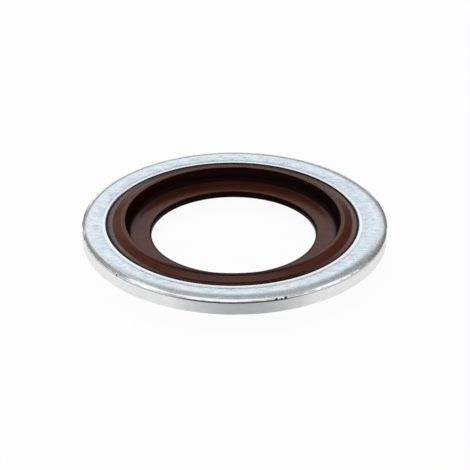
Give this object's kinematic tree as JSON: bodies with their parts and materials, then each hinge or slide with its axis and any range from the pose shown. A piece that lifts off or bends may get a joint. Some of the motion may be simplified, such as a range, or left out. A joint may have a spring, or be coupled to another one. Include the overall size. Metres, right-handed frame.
{
  "type": "bonded seal ring",
  "caption": "Flat steel ring with a moulded rubber lip ring bonded in its bore; the thin web inside grips a screw thread and centres the seal under a fitting.",
  "frame": {"origin": "on the axis, in the plane through the crest of the lower rubber lip, on which the ring lies", "axes": "+Z along the axis of the ring, away from the surface that it lies on, towards the rolled upper edge of the steel; X and Y are any two radii at right angles"},
  "size_m": [0.024, 0.024, 0.0021],
  "materials": {
    "zinc_plated_steel": "blanked steel with a matt, finely mottled bright zinc plating",
    "brown_rubber": "smooth moulded brown fluoro-rubber with a low sheen"
  },
  "bodies": {
    "root": {"steel_ring": "zinc_plated_steel", "rubber_seal": "brown_rubber"}
  },
  "joints": []
}
